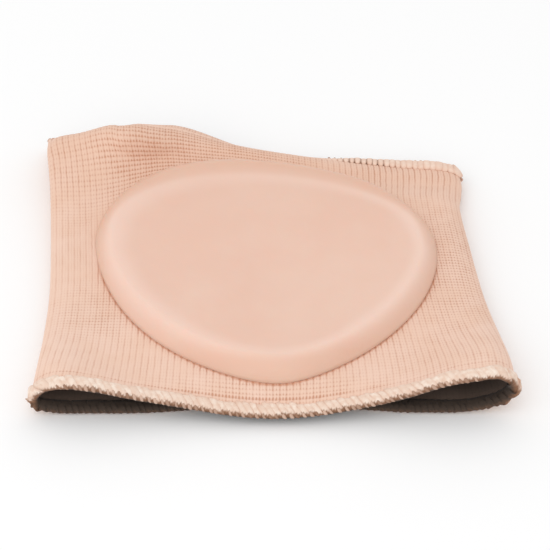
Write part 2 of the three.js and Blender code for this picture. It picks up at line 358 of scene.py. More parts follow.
# Grooves of the knit, darkened with painted shade: how far they stray, in ribs or rows, how uneven and how
# sharp they are, and how far the rows break up into dots between the half ribs
STRAY_SCALE = 900.0
STRAY = 0.12
PATCH_SCALE = 330.0
PATCH_RAMP = (0.25, 0.75)
PATCH_SHARE = 0.7
PATCH_LEAST = 0.55
RIB_SHARPNESS = 2.0
MIDRIB_SHARE = 0.5
ROW_SHARPNESS = 1.5
DOT_SHARPNESS = 1.2
DOT_SHARE = 0.9
DOT_LEAST = 0.18
CREASE_RAMP = (0.5, 0.1)

# Painted contact shade along the line where the pad meets the cloth, with a tick between two ribs
CONTACT_SHADE_COLOUR = (0.60, 0.28, 0.17, 1)
CONTACT_RAMP = (0.55, 0.15)
CONTACT_MOST = 0.9
TICK_SHARPNESS = 1.5
TICK_SHARE = 0.5
TICK_LEAST = 0.6

GEL_PLAIN = (0.805, 0.53, 0.42, 1)
GEL_MOTTLED = (0.825, 0.585, 0.475, 1)
MOTTLE_SCALE = 55.0
MOTTLE_RAMP = (0.35, 0.7)
MOTTLE_SHARE = 0.6
# Painted light and shade of the gel: back and rim are painted shade, crest a painted highlight, foot
# painted contact shade
GEL_LIGHT_AND_SHADE_TONES = table(
    "value share colour",
    ("back", 0.5, (0.77, 0.5, 0.39, 1)),
    ("crest", 0.5, (0.89, 0.67, 0.575, 1)),
    ("rim", 0.9, (0.75, 0.465, 0.34, 1)),
    ("foot", 0.15, (0.62, 0.3, 0.19, 1)),
)
GEL_SURFACE = {
    "Roughness": 0.42,
    "Specular IOR Level": 0.25,
    "Subsurface Weight": 0.25,
    "Subsurface Radius": (1.0, 0.45, 0.3),
    "Subsurface Scale": 0.003,
}
GEL_BUMP = {"strength": 0.12, "distance": 0.0003}
GEL_BUMP_SCALE = 700.0

# Thread colours: brown and black are painted shade where the thread turns into the sleeve, and the gap
# colour is painted shade between cords
THREAD_COLOURS = {
    "deep": (0.81, 0.60, 0.48, 1),
    "pale": (0.93, 0.80, 0.69, 1),
    "gap_shade": (0.66, 0.41, 0.30, 1),
    "plain": (0.87, 0.61, 0.485, 1),
    "brown": (0.28, 0.14, 0.08, 1),
    "black": (0.06, 0.042, 0.032, 1),
}
THREAD_SCALE = 900.0
GAP_SHARE = 0.75
BROWN_RAMP = (0.0, 0.5)
BLACK_RAMP = (0.4, 1.0)
THREAD_SURFACE = {"Roughness": 0.85, "Specular IOR Level": 0.15, "Sheen Weight": 0.1}
THREAD_BUMP_SCALE = 3200.0

FLOOR_COLOUR = (0.97, 0.97, 0.97, 1)
FLOOR_SURFACE = {"Roughness": 0.9, "Specular IOR Level": 0.0}


class Nodes:
    """A short way to build a material's node tree."""

    def __init__(self, name):
        self.material = bpy.data.materials.new(name)
        self.material.use_nodes = True
        self.tree = self.material.node_tree
        self.shader = self.tree.nodes["Principled BSDF"]

    def put(self, socket, value):
        if isinstance(value, bpy.types.NodeSocket):
            self.tree.links.new(value, socket)
        else:
            socket.default_value = value

    def add(self, kind, inputs=(), **settings):
        node = self.tree.nodes.new(kind)
        for key, value in settings.items():
            setattr(node, key, value)
        for key, value in dict(inputs).items():
            self.put(node.inputs[key], value)
        return node

    def math(self, operation, a, b=0.0, c=0.0):
        node = self.add("ShaderNodeMath", {0: a, 1: b, 2: c}, operation=operation)
        return node.outputs[0]

    def times(self, a, b):
        return self.math("MULTIPLY", a, b)

    def scaled(self, value, scale, least):
        return self.math("MULTIPLY_ADD", value, scale, least)

    def mix(self, share, a, b):
        node = self.add("ShaderNodeMix", {0: share, 6: a, 7: b}, data_type="RGBA")
        return node.outputs[2]

    def noise(self, scale, detail=2.0):
        place = self.add("ShaderNodeTexCoord").outputs["Object"]
        values = {"Vector": place, "Scale": scale, "Detail": detail, "Roughness": 0.5}
        return self.add("ShaderNodeTexNoise", values).outputs["Fac"]

    def value(self, name):
        return self.add("ShaderNodeAttribute", attribute_name=name).outputs["Fac"]

    def ramp(self, value, low, high):
        values = {"Value": value, "From Min": low, "From Max": high}
        return self.add("ShaderNodeMapRange", values, interpolation_type="SMOOTHSTEP").outputs["Result"]

    def surface(self, colour, settings):
        self.put(self.shader.inputs["Base Color"], colour)
        for key, value in settings.items():
            self.put(self.shader.inputs[key], value)

    def bump(self, height, strength, distance):
        values = {"Height": height, "Strength": strength, "Distance": distance}
        self.put(self.shader.inputs["Normal"], self.add("ShaderNodeBump", values).outputs["Normal"])


def groove(nodes, place, sharpness):
    """0 along the crest of each rib or row, 1 in the groove between two."""
    wave = nodes.math("ABSOLUTE", nodes.math("SINE", nodes.times(place, math.pi)))
    return nodes.math("POWER", nodes.math("SUBTRACT", 1.0, wave), sharpness)


def knit_grooves(nodes, rib, row):
    """The grooves between ribs and half ribs, the dotted ones between rows, and the stitched crease, for
    bumps and painted shade.
    """
    half_rib = nodes.times(rib, 2.0)
    patches = nodes.ramp(nodes.noise(PATCH_SCALE), *PATCH_RAMP)
    uneven = nodes.scaled(patches, PATCH_SHARE, PATCH_LEAST)
    midrib = groove(nodes, half_rib, RIB_SHARPNESS)
    ribs = nodes.scaled(midrib, MIDRIB_SHARE, groove(nodes, rib, RIB_SHARPNESS))
    ribs = nodes.times(ribs, nodes.times(nodes.value("rib_mark"), uneven))
    dots = nodes.scaled(groove(nodes, half_rib, DOT_SHARPNESS), DOT_SHARE, DOT_LEAST)
    dots = nodes.times(dots, uneven)
    rows = nodes.times(groove(nodes, row, ROW_SHARPNESS), nodes.value("row_mark"))
    rows = nodes.times(rows, dots)
    crease = nodes.ramp(nodes.math("ABSOLUTE", nodes.value("crease")), *CREASE_RAMP)
    crease = nodes.times(crease, dots)
    grooves = nodes.math("ADD", nodes.math("ADD", ribs, rows), crease)
    return nodes.math("MINIMUM", grooves, 1.0)


def pad_contact_shade(nodes, rib):
    """Painted contact shade along the line where the pad meets the cloth."""
    near = nodes.ramp(nodes.math("ABSOLUTE", nodes.value("pad_away")), *CONTACT_RAMP)
    ticks = nodes.scaled(groove(nodes, rib, TICK_SHARPNESS), TICK_SHARE, TICK_LEAST)
    line = nodes.times(near, nodes.times(ticks, nodes.value("pad_line")))
    return nodes.math("MINIMUM", line, CONTACT_MOST)


def knit_material(name, colours):
    """Knit whose ribs and rows are drawn by the mesh's own count of them."""
    nodes = Nodes(name)
    place = nodes.add("ShaderNodeUVMap", uv_map="knit").outputs["UV"]
    count = nodes.add("ShaderNodeSeparateXYZ", {0: place})
    stray = nodes.scaled(nodes.noise(STRAY_SCALE), 2 * STRAY, -STRAY)
    rib = nodes.math("ADD", count.outputs["X"], stray)
    row = nodes.math("ADD", count.outputs["Y"], stray)
    grooves = knit_grooves(nodes, rib, row)
    tone = nodes.ramp(nodes.noise(TONE_SCALE, FINE_DETAIL), *SOFT_RAMP)
    colour = nodes.mix(tone, colours["pale"], colours["deep"])
    to_rear = nodes.ramp(count.outputs["Y"], 0.5 * ROWS, ROWS)
    colour = nodes.mix(nodes.times(to_rear, REAR_SHARE), colour, colours["rear"])
    # Painted shade in the grooves between ribs and rows, and in the crease
    colour = nodes.mix(nodes.times(grooves, GROOVE_SHADE_SHARE), colour, colours["groove"])
    # Painted contact shade where the pad meets the cloth
    colour = nodes.mix(pad_contact_shade(nodes, rib), colour, CONTACT_SHADE_COLOUR)
    nodes.surface(colour, KNIT_SURFACE)
    fibre = nodes.times(nodes.noise(FIBRE_SCALE), FIBRE_HEIGHT)
    nodes.bump(nodes.math("SUBTRACT", fibre, grooves), **YARN_BUMP)
    return nodes.material


def gel_material():
    """Soft satin gel: a paler painted highlight along the crest of its rounded edge, warmer painted shade
    outside it and towards the rear.
    """
    nodes = Nodes("gel")
    mottle = nodes.ramp(nodes.noise(MOTTLE_SCALE, FINE_DETAIL), *MOTTLE_RAMP)
    colour = nodes.mix(nodes.times(mottle, MOTTLE_SHARE), GEL_PLAIN, GEL_MOTTLED)
    for tone in GEL_LIGHT_AND_SHADE_TONES:
        share = nodes.times(nodes.value(tone["value"]), tone["share"])
        colour = nodes.mix(share, colour, tone["colour"])
    nodes.surface(colour, GEL_SURFACE)
    nodes.bump(nodes.noise(GEL_BUMP_SCALE), **GEL_BUMP)
    return nodes.material


def thread_material():
    """Pale soft thread, knit-coloured where plain, with painted shade reddish between two cords and brown
    to black where it turns into the sleeve.
    """
    nodes = Nodes("thread")
    tone = nodes.ramp(nodes.noise(THREAD_SCALE, FINE_DETAIL), *SOFT_RAMP)
    tone = nodes.times(tone, nodes.value("tone"))
    colour = nodes.mix(tone, THREAD_COLOURS["deep"], THREAD_COLOURS["pale"])
    # Painted shade in the gaps between cords
    colour = nodes.mix(nodes.times(nodes.value("gap_shade"), GAP_SHARE), colour, THREAD_COLOURS["gap_shade"])
    colour = nodes.mix(nodes.value("plain"), colour, THREAD_COLOURS["plain"])
    # Painted shade, brown and then black, where the thread turns into the sleeve
    colour = nodes.mix(nodes.ramp(nodes.value("shade"), *BROWN_RAMP), colour, THREAD_COLOURS["brown"])
    colour = nodes.mix(nodes.ramp(nodes.value("shade"), *BLACK_RAMP), colour, THREAD_COLOURS["black"])
    nodes.surface(colour, THREAD_SURFACE)
    nodes.bump(nodes.noise(THREAD_BUMP_SCALE), **YARN_BUMP)
    return nodes.material


# Knitted tube: relief of its ribs and rows, which fades out at the lips
RIB_DEPTH = 0.07
RIB_ROUNDNESS = 0.7
MIDRIB_DEPTH = 0.05
ROW_DEPTH = 0.10
ROW_WAVE = 0.34
RIB_RELIEF = 0.4
ROW_RELIEF = 0.3
ROW_RELIEF_MOST = 1.2
RELIEF_FROM = 1
RELIEF_EASE = 2

# Points of the mesh: steps in each rib of the upper and the lower wall, and in the whole inner face
UPPER_STEPS = 4
LOWER_STEPS = 2
INNER_STEPS = 24

# The stitched crease behind each edging: rows from the lip, and how it strays and thins at the sides
CREASE_ROW = 3.1
CREASE_STRAY = 0.6
CREASE_DEPTH = 0.1
CREASE_HALF = 1
CREASE_MIDDLE = 0.46
CREASE_STEADY = 0.12
CREASE_EASE = 0.2
CREASE_THINNER = 1.6

# Where the ribs and the rows of stitches show more or less, on both walls: place as a share of the width
# and as a distance from the front lip, reach both ways, and what is added to each mark there
MARKS = table(
    "across along wide long rib row",
    (0.31, 68, 0.3, 18, 0.05, 2.5),
    (0.48, 70, 0.22, 10, -0.1, 2.1),
    (0.1, 44, 0.14, 22, 0.0, 0.35),
    (0.11, 23, 0.14, 11, 0.0, 1.0),
    (0.12, 9, 0.3, 13, 0.1, -0.25),
    (0.88, 10, 0.24, 14, 0.1, 0.25),
    (0.96, 38, 0.2, 30, 0.0, 1.5),
    (0.85, 72, 0.3, 16, 0.4, -0.1),
    (0.04, 70, 0.14, 22, 0.25, 0.1),
    (0.5, 3.6, 0.3, 3.6, 0.0, 0.7),
    (0.48, 9, 0.34, 7, 0.0, -0.18),
)
RIB_MARK = 0.25
ROW_MARK = 0.3
RIB_MARK_RANGE = (0.05, 1.0)
ROW_MARK_RANGE = (0.05, 2.6)
INNER_MARK_SHARE = 0.4

# How the hump at the rear pulls the rows along the cloth
ROW_PULL = 5.0
ROW_PULLS = table(
    "pull across left right",
    (0.3, 0.4, 0.26, 0.3),
    (-1.3, 0.06, 0.2, 0.26),
)
PULL_ALONG = 58
PULL_FRONT = 30
PULL_REAR = 20

# The painted contact shade round the front of the pad ends before the pad's widest place, and the ribs show
# more beside it.
# FAR is for points without a crease or such a line.
FAR = 99.0
PAD_LINE_TO = 4
PAD_LINE_EASE = 8
PAD_LINE_RIBS = 0.6
PAD_LINE_REACH = 1.8
LEAST_SHARE = 0.01


def row_lean(around, along):
    """How far the hump at the rear pulls the rows of stitches along the cloth."""
    across = across_share(around)
    pull = 0
    for place in ROW_PULLS:
        pull = pull + place["pull"] * bell(across - place["across"], place["left"], place["right"])
    return ROW_PULL * pull * bell(along - PULL_ALONG, PULL_FRONT, PULL_REAR)


def pad_distance(around, along):
    """Distance outward from the pad's outline, on the upper wall."""
    width = column("right", PAD_ALONG) - column("left", PAD_ALONG)
    across = (2 * around - PAD_ACROSS) * width
    onward = along - PAD_ALONG
    reach = np.where(onward < 0, PAD_FRONT, PAD_REAR)
    rise = np.clip(onward / reach, -1, 1)
    taper = np.where(across < 0, PAD_TAPER_LEFT, PAD_TAPER_RIGHT)
    wide = PAD_HALF_WIDTH * np.where(onward < 0, 1 - taper * rise * rise, 1)
    share = np.hypot(across / wide, onward / reach)
    return np.hypot(across, onward) * (1 - 1 / np.maximum(share, LEAST_SHARE))


def knit_marks(around, along):
    """How strongly the ribs and the rows show at points of the cloth."""
    across = across_share(around)
    rib = np.full(np.shape(around), RIB_MARK)
    row = np.full(np.shape(around), ROW_MARK)
    for mark in MARKS:
        share = bell(across - mark["across"], mark["wide"], mark["wide"])
        share = share * bell(along - mark["along"], mark["long"], mark["long"])
        rib = rib + mark["rib"] * share
        row = row + mark["row"] * share
    return np.clip(rib, *RIB_MARK_RANGE), np.clip(row, *ROW_MARK_RANGE)


def knit_relief(rib, row, rib_mark, row_mark):
    """Height of the outer face over the tops of the stitches, below zero."""
    ribs = RIB_DEPTH * (np.abs(np.sin(np.pi * rib)) ** RIB_ROUNDNESS - 1)
    halves = MIDRIB_DEPTH * (np.abs(np.sin(2 * np.pi * rib)) - 1)
    rows = ROW_DEPTH * (np.abs(np.sin(np.pi * row)) - 1)
    row_share = ROW_RELIEF + np.minimum(row_mark, ROW_RELIEF_MOST)
    return (ribs + halves) * (RIB_RELIEF + rib_mark) + rows * row_share


def crease_distance(around, row):
    """Rows from the crease behind the nearer edging to points of the cloth, counted faster at the sides."""
    from_middle = np.abs(across_share(around) - CREASE_MIDDLE)
    aside = smoothstep((from_middle - CREASE_STEADY) / CREASE_EASE)
    row_from_lip = np.minimum(row, ROWS - row)
    return (row_from_lip - CREASE_ROW - CREASE_STRAY * aside) * (1 + CREASE_THINNER * aside)


def outer_face():
    """The ribbed outer face: its points, their ribs and rows, and the values that its material reads."""
    upper = np.arange(HALF_RIBS * UPPER_STEPS) / UPPER_STEPS
    lower = HALF_RIBS + np.arange(HALF_RIBS * LOWER_STEPS) / LOWER_STEPS
    half_rows = np.arange(2 * ROWS + 1) / 2
    row, rib = np.meshgrid(half_rows, np.concatenate([upper, lower]), indexing="ij")
    around = rib / RIBS
    along = row / ROWS * SLEEVE_LENGTH
    along = along + row_lean(around, along)
    from_lip = np.minimum(along, SLEEVE_LENGTH - along)
    rib_mark, row_mark = knit_marks(around, along)
    crease = crease_distance(around, row)
    showing = smoothstep((from_lip - RELIEF_FROM) / RELIEF_EASE)
    height = CLOTH / 2 + knit_relief(rib, row, rib_mark, row_mark) * showing
    height = height - CREASE_DEPTH * bell(crease, CREASE_HALF, CREASE_HALF)
    wave = ROW_WAVE * SLEEVE_LENGTH / ROWS * (np.abs(rib * 2 % 1 - 0.5) - 0.25) * showing
    points = cloth_point(around, along + wave, height).reshape(-1, 3)
    pad_away = np.where(around < 0.5, pad_distance(around, along), FAR)
    # Painted contact shade round the front of the pad, with stronger ribs beside it
    pad_line = smoothstep((PAD_ALONG - PAD_LINE_TO - along) / PAD_LINE_EASE)
    beside_pad = pad_line * (1 - smoothstep(np.abs(pad_away) / PAD_LINE_REACH))
    values = {
        "rib_mark": rib_mark + PAD_LINE_RIBS * beside_pad,
        "row_mark": row_mark,
        "crease": crease,
        "pad_away": pad_away,
        "pad_line": pad_line,
    }
    return points, rib, row, values


def inner_face():
    """The plain inner face: its points, their ribs and rows, and the values that its material reads."""
    rows = np.linspace(0, ROWS, INNER_STEPS + 1)
    row, rib = np.meshgrid(rows, np.arange(RIBS), indexing="ij")
    along = row / ROWS * SLEEVE_LENGTH
    points = cloth_point(rib / RIBS, along, -CLOTH / 2).reshape(-1, 3)
    rib_mark, row_mark = knit_marks(rib / RIBS, along)
    values = {
        "rib_mark": INNER_MARK_SHARE * rib_mark,
        "row_mark": INNER_MARK_SHARE * row_mark,
        "crease": np.full(rib.shape, FAR),
        "pad_away": np.full(rib.shape, FAR),
        "pad_line": np.zeros(rib.shape),
    }
    return points, rib, row, values


def lip_faces(front, first_outer, first_inner, columns):
    """Triangles between the last row of the outer face and that of the inner face, at one lip."""
    faces = []
    for rib in range(RIBS):
        upper = rib < HALF_RIBS
        count = UPPER_STEPS if upper else LOWER_STEPS
        before = 0 if upper else HALF_RIBS * (UPPER_STEPS - LOWER_STEPS)
        begin = before + rib * count
        edge = [first_outer + (begin + k) % columns for k in range(count + 1)]
        here = first_inner + rib
        after = first_inner + (rib + 1) % RIBS
        fan = [[edge[k], edge[k + 1], here if k < count / 2 else after] for k in range(count)]
        fan.append([edge[count // 2], after, here])
        faces += [face[::-1] if front else face for face in fan]
    return faces


def knit_places(faces, rib, row):
    """Rib and row of each corner of the faces, counted on past the first rib where a face crosses it."""
    places = []
    for face in faces:
        corner_ribs = rib[face]
        if corner_ribs.max() - corner_ribs.min() > HALF_RIBS:
            corner_ribs = np.where(corner_ribs < HALF_RIBS, corner_ribs + RIBS, corner_ribs)
        places.append(np.stack([corner_ribs, row[face]], axis=1))
    return np.concatenate(places)


def knit_sleeve(outside, inside):
    """The whole tube: a finely ribbed outer face, a plain inner face, and the two lips between them."""
    outer, outer_rib, outer_row, outer_values = outer_face()
    inner, inner_rib, inner_row, inner_values = inner_face()
    rows, columns = outer_rib.shape
    outer_faces = grid_faces(rows, columns).tolist()
    inner_faces = grid_faces(INNER_STEPS + 1, RIBS, len(outer))[:, ::-1].tolist()
    lips = lip_faces(True, 0, len(outer), columns)
    lips += lip_faces(False, (rows - 1) * columns, len(outer) + INNER_STEPS * RIBS, columns)
    faces = [*outer_faces, *inner_faces, *lips]
    kinds = [0] * len(outer_faces) + [1] * len(inner_faces) + [0] * len(lips)
    rib = np.concatenate([outer_rib.ravel(), inner_rib.ravel()])
    row = np.concatenate([outer_row.ravel(), inner_row.ravel()])
    places = knit_places(faces, rib, row)
    values = {}
    for key, value in outer_values.items():
        values[key] = np.concatenate([value.ravel(), inner_values[key].ravel()])
    points = np.concatenate([outer, inner])
    return mesh_piece("knit_tube", points, faces, [outside, inside], kinds, places, values)


# Gel pad: its edge is straighter than the part's, with a lower wall, and steeper at the front
PAD_SECTORS = 240
PAD_SUNK = 0.05
PAD_WALL = 0.15
PAD_FRONT_WALL = 0.2
PAD_CHAMFER = 0.6
PAD_FRONT_CHAMFER = 0.25
PAD_FRONT_STEEPER = 1.1
PAD_DISH = 0.35
PAD_DISH_EASE = 4

# Rings of the pad: shares of its outline below and on top, shares of its wall, and slopes of its edge
UNDER_SHARES = np.linspace(0.04, 1, 8)
WALL_SHARES = (0.35, 0.7)
EDGE_SLOPES = np.linspace(0, np.pi / 2, 14)
TOP_SHARES = np.linspace(1, 0.02, 40)[1:]

# Sides of the pad's outline, by the sine of their direction: where they start, and how fast they take over.
# Then smaller parts of it: direction in degrees, and reach in radians.
PAD_SIDES = {"front": (0.5, -2), "rear": (-0.05, 1.1)}
PAD_PARTS = {"front_left": 218, "front_right": 325, "nose": 270}
PAD_PART_REACH = 0.8

# The painted highlight along the crest inside the edge: its place, how far it fades out and in, and how it
# differs by side
CREST_OUTSIDE = 0.2
CREST_ASIDE = 0.3
CREST_OUTWARD = 1.9
CREST_FRONT_LEFT = 3
CREST_FRONT_RIGHT = 2.2
CREST_INWARD = 3.4
CREST_FRONT_INWARD = 1.2
CREST_LEFT_INWARD = 3
CREST_REAR_SHIFT = 4.3
CREST_REAR_LESS = 0.45

# The warmer rim outside the crest, painted shade on the edge's slope, and how it differs by side
RIM_OUTSIDE = 2.6
RIM_REAR_SHIFT = 3
RIM_NOSE_SHIFT = 1.2
RIM_EASE = 2.2
RIM_REAR_EASE = 2
RIM_FRONT_LESS = 0.7
RIM_NOSE_MORE = 0.25
RIM_FRONT_LEFT_LESS = 0.8
RIM_REAR_LESS = 0.25

# The foot of the front edge, reddened as painted contact shade, and the back of the pad, warmer and darker
# as painted shade
FOOT_REACH = 0.3
BACK_FROM = 6
BACK_EASE = 26


def pad_outline(angle):
    """The pad's outline, across and along the cloth from the pad's centre."""
    cosine = np.cos(angle)
    sine = np.sin(angle)
    taper = np.where(cosine < 0, PAD_TAPER_LEFT, PAD_TAPER_RIGHT)
    across = PAD_HALF_WIDTH * cosine * np.where(sine < 0, 1 - taper * sine * sine, 1)
    along = sine * np.where(sine < 0, PAD_FRONT, PAD_REAR)
    return across, along


def pad_sides(angle):
    """How much each direction from the pad's centre belongs to each side of its outline."""
    sides = {"left": np.maximum(-np.cos(angle), 0)}
    for name, (start, slope) in PAD_SIDES.items():
        sides[name] = smoothstep(start + slope * np.sin(angle))
    for name, degrees in PAD_PARTS.items():
        sides[name] = bell(angle - np.radians(degrees), PAD_PART_REACH, PAD_PART_REACH)
    return sides


def pad_profile(side, bevel):
    """Rings from the middle of the underside, up the wall and over the edge to the middle of the top: share
    of the outline, inset from the outline, and height."""
    wall = PAD_WALL + PAD_FRONT_WALL * side["front"]
    chamfer = PAD_CHAMFER + PAD_FRONT_CHAMFER * side["front"]
    profile = [(share, 0, 0 * wall) for share in UNDER_SHARES]
    profile += [(1, 0, wall * share) for share in WALL_SHARES]
    for slope in EDGE_SLOPES:
        rise = wall + (PAD_THICKNESS - wall) * np.sin(slope)
        round_inset = 1 - np.cos(slope)
        straight_inset = slope / (np.pi / 2)
        inset = round_inset + (straight_inset - round_inset) * chamfer
        profile.append((1, bevel * inset, rise))
    for share in TOP_SHARES:
        dish = PAD_DISH * (1 - share**2) * smoothstep((1 - share) * PAD_DISH_EASE)
        profile.append((share, bevel, PAD_THICKNESS - dish))
    return profile


def pad_tones(side, crest, from_edge, onward):
    """The painted highlight and painted shade that the gel's material reads, at one ring of the pad."""
    front, rear, left, nose = side["front"], side["rear"], side["left"], side["nose"]
    front_left, front_right = side["front_left"], side["front_right"]
    past_rim = from_edge - crest + RIM_OUTSIDE - RIM_REAR_SHIFT * rear - RIM_NOSE_SHIFT * nose
    past_rim = past_rim / (RIM_EASE + RIM_REAR_EASE * rear)
    rim = 1 - RIM_FRONT_LESS * front + RIM_NOSE_MORE * nose
    rim = rim * (1 - RIM_FRONT_LEFT_LESS * front_left) * (1 - RIM_REAR_LESS * rear)
    outward = CREST_OUTWARD + CREST_FRONT_LEFT * front_left + CREST_FRONT_RIGHT * front_right
    inward = CREST_INWARD - CREST_FRONT_INWARD * front + CREST_LEFT_INWARD * left
    from_crest = from_edge - crest - CREST_REAR_SHIFT * rear
    return {
        "rim": rim * (1 - smoothstep(past_rim)),
        "crest": (1 - CREST_REAR_LESS * rear) * bell(from_crest, outward, inward),
        "foot": front * (1 - smoothstep(from_edge / FOOT_REACH)),
        "back": smoothstep((onward + BACK_FROM) / BACK_EASE),
    }


def gel_pad(material):
    """A pad that follows the cloth: flat below, a low wall, a round edge and a nearly flat top."""
    angle = np.linspace(0, 2 * np.pi, PAD_SECTORS, endpoint=False)
    across, along = pad_outline(angle)
    radius = np.hypot(across, along)
    width = column("right", PAD_ALONG) - column("left", PAD_ALONG)
    seat = CLOTH / 2 - PAD_SUNK
    side = pad_sides(angle)
    bevel = PAD_BEVEL - PAD_FRONT_STEEPER * side["front"] ** 2
    crest = bevel - CREST_OUTSIDE + CREST_ASIDE * np.cos(angle)
    profile = pad_profile(side, bevel)
    rings = []
    tones = []
    for share, inset, rise in profile:
        size = share * (1 - inset / radius)
        around = (PAD_ACROSS + across * size / width) / 2
        rings.append(cloth_point(around, PAD_ALONG + along * size, seat + rise))
        tones.append(pad_tones(side, crest, radius * (1 - size), along * size))
    faces = grid_faces(len(profile), PAD_SECTORS).tolist()
    last = (len(profile) - 1) * PAD_SECTORS
    faces.append(list(range(PAD_SECTORS))[::-1])
    faces.append([last + i for i in range(PAD_SECTORS)])
    values = {key: np.concatenate([tone[key] for tone in tones]) for key in tones[0]}
    return mesh_piece("gel_pad_body", np.concatenate(rings), faces, [material], values=values)


# Overlock edging: each stitch is a soft cord that wraps the lip, with a narrow tooth of thread at the edge
STITCHES = 144
STITCH_AT = np.arange(STITCHES) + 0.5
STITCH_PITCH = 1.31
CORD_WIDE = 0.86
CORD_HIGH = 0.33
CORD_SEAT = 0.2
CORD_SIDES = 12
NOSE = CLOTH / 2 + CORD_SEAT
SLANT_FROM = 0.3
WIDEST = 2.0
FLOOR_CLEAR = 0.02
FLOOR_HIGH_SHARE = 1.05
FLOOR_WIDE_SHARE = 0.1

# What differs between the two edgings: how far the stitches reach back from the lip and lean sideways, how
# far they stray, their size, how much painted shade they get and how plain they are, and where their teeth
# begin
FRONT_EDGING = {
    "rear": False, "band": 1.7, "slant": 2.8, "stray": 1, "wide": 1, "corner_wider": 0,
    "high": 1, "shade": 1, "plain": 0, "blend": 0.9, "teeth_from": 0.03,
}
REAR_EDGING = {
    "rear": True, "band": 3.2, "slant": 0.7, "stray": 0.4, "wide": 0.82, "corner_wider": 0.3,
    "high": 0.8, "shade": 0.35, "plain": 0.5, "blend": 0.5, "teeth_from": 0.34,
}

# A stitch along its path: points on each flat part and round the lip, swelling, and its thin, low ends
FLAT_POINTS = 7
BEND_POINTS = 9
PUFF = 0.12
END_DIP = 0.35
END_DIP_REACH = 0.8
END_THICK = 0.6
END_THICK_REACH = 0.7

# Stitches that are sunk in the knit, that lie on the lower wall, and that turn round the right corner
SUNK_FROM = 0.65
SUNK_EASE = 0.11
SUNK_LESS = 0.6
LOWER_WIDER = 0.6
LOWER_LESS = 0.5
CORNER_FROM = 0.86
CORNER_EASE = 0.1
FOLD_EASE = 0.02

# How much painted shade a stitch gets as it turns into the sleeve: share of the shade, the way that the
# thread faces where it begins, in degrees up from the cloth, and over how many degrees it grows. On the
# upper wall, the painted shades begin at a ragged fringe.
UPPER_SHADES = table(
    "share facing ease",
    (0.5, 0, 22),
    (0.5, -40, 50),
)
FRONT_LOWER_SHADES = table(
    "share facing ease",
    (0.8, 85, 25),
    (0.2, 20, 60),
)
REAR_LOWER_SHADES = table("share facing ease", (1, -30, 50))
FRINGE = 30
FRINGE_MIDDLE = 24
FRINGE_REACH = 0.3

# The end of a stitch takes the knit's colour. The painted shade in the gaps between cords shows most in the
# middle of the front edging, and is darkest at the right of the rear one.
END_PLAIN = 0.7
GAP_LEAST = 0.2
GAP_LEFT = 0.34
GAP_LEFT_EASE = 0.2
GAP_RIGHT = 0.76
GAP_RIGHT_EASE = 0.12
GAP_SIDE_LESS = 0.6
GAP_EDGE = 1.02
GAP_STEEP = 1.9
DARK_GAP = 0.3
DARK_GAP_AT = 0.75
DARK_GAP_LEFT = 0.07
DARK_GAP_RIGHT = 0.15

# Teeth of thread at the edge
TOOTH_WIDE = 0.36
TOOTH_HIGH = 0.22
TOOTH_SIDES = 7
TOOTH_SUNK = 0.08
TOOTH_ASIDE = 0.25
TOOTH_SLANT = 0.5
TOOTH_DROP = np.radians(np.linspace(40, -44, 6))
TOOTH_TAPER = np.sin(np.pi * np.linspace(0.2, 0.85, len(TOOTH_DROP)))
TEETH_TO = 0.46


def plain_share(around, rear):
    """1 where the rear stitches are sunk in the knit and take its colour, at the left of both walls."""
    if not rear:
        return 0 * around
    return 1 - smoothstep((across_share(around % 1) - SUNK_FROM) / SUNK_EASE)


def lower_share(around):
    """0 on the upper wall, 1 on the lower wall."""
    past_fold = np.minimum(around % 1 - 0.5, 1 - around % 1)
    return smoothstep((past_fold + FOLD_EASE / 2) / FOLD_EASE)


def cords(paths, sides, wide, high, side_way):
    """Points and faces of closed-ended cords of oval section, and how near each point is to a cord's side,
    for painted shade.
    paths holds cord, step and place; side_way points sideways."""
    count, steps, _ = paths.shape
    ahead = unit(np.gradient(paths, axis=1))
    side = unit(side_way - ahead * (side_way * ahead).sum(-1, keepdims=True))
    up = np.cross(ahead, side)
    turn = np.linspace(0, 2 * np.pi, sides, endpoint=False)
    across = (wide[..., None] * np.cos(turn))[..., None] * side[:, :, None, :]
    outward = (high[..., None] * np.sin(turn))[..., None] * up[:, :, None, :]
    points = paths[:, :, None, :] + across + outward
    gap_shade = np.tile(smoothstep((GAP_EDGE - np.abs(np.sin(turn))) * GAP_STEEP), count * steps)
    faces = []
    for cord in range(count):
        first = cord * steps * sides
        faces += grid_faces(steps, sides, first).tolist()
        last = first + (steps - 1) * sides
        faces.append([first + i for i in range(sides)][::-1])
        faces.append([last + i for i in range(sides)])
    return points.reshape(-1, 3), faces, gap_shade


def lip_cords(rear, around, beyond, height, wide, high, sides):
    """Cords over one lip, from their paths round the sleeve, past the lip and off the cloth."""
    lip = SLEEVE_LENGTH if rear else 0.0
    along = lip + (beyond if rear else -beyond) + 0 * around
    paths = cloth_point(around, along, height + 0 * around)
    paths[..., 2] = np.maximum(paths[..., 2], FLOOR_HIGH_SHARE * high + FLOOR_WIDE_SHARE * wide)
    round_it, _, _ = cloth_axes(around, np.clip(along, 0, SLEEVE_LENGTH))
    points, faces, gap_shade = cords(paths, sides, wide, high, round_it)
    points[:, 2] = np.maximum(points[:, 2], FLOOR_CLEAR)
    return points, faces, gap_shade


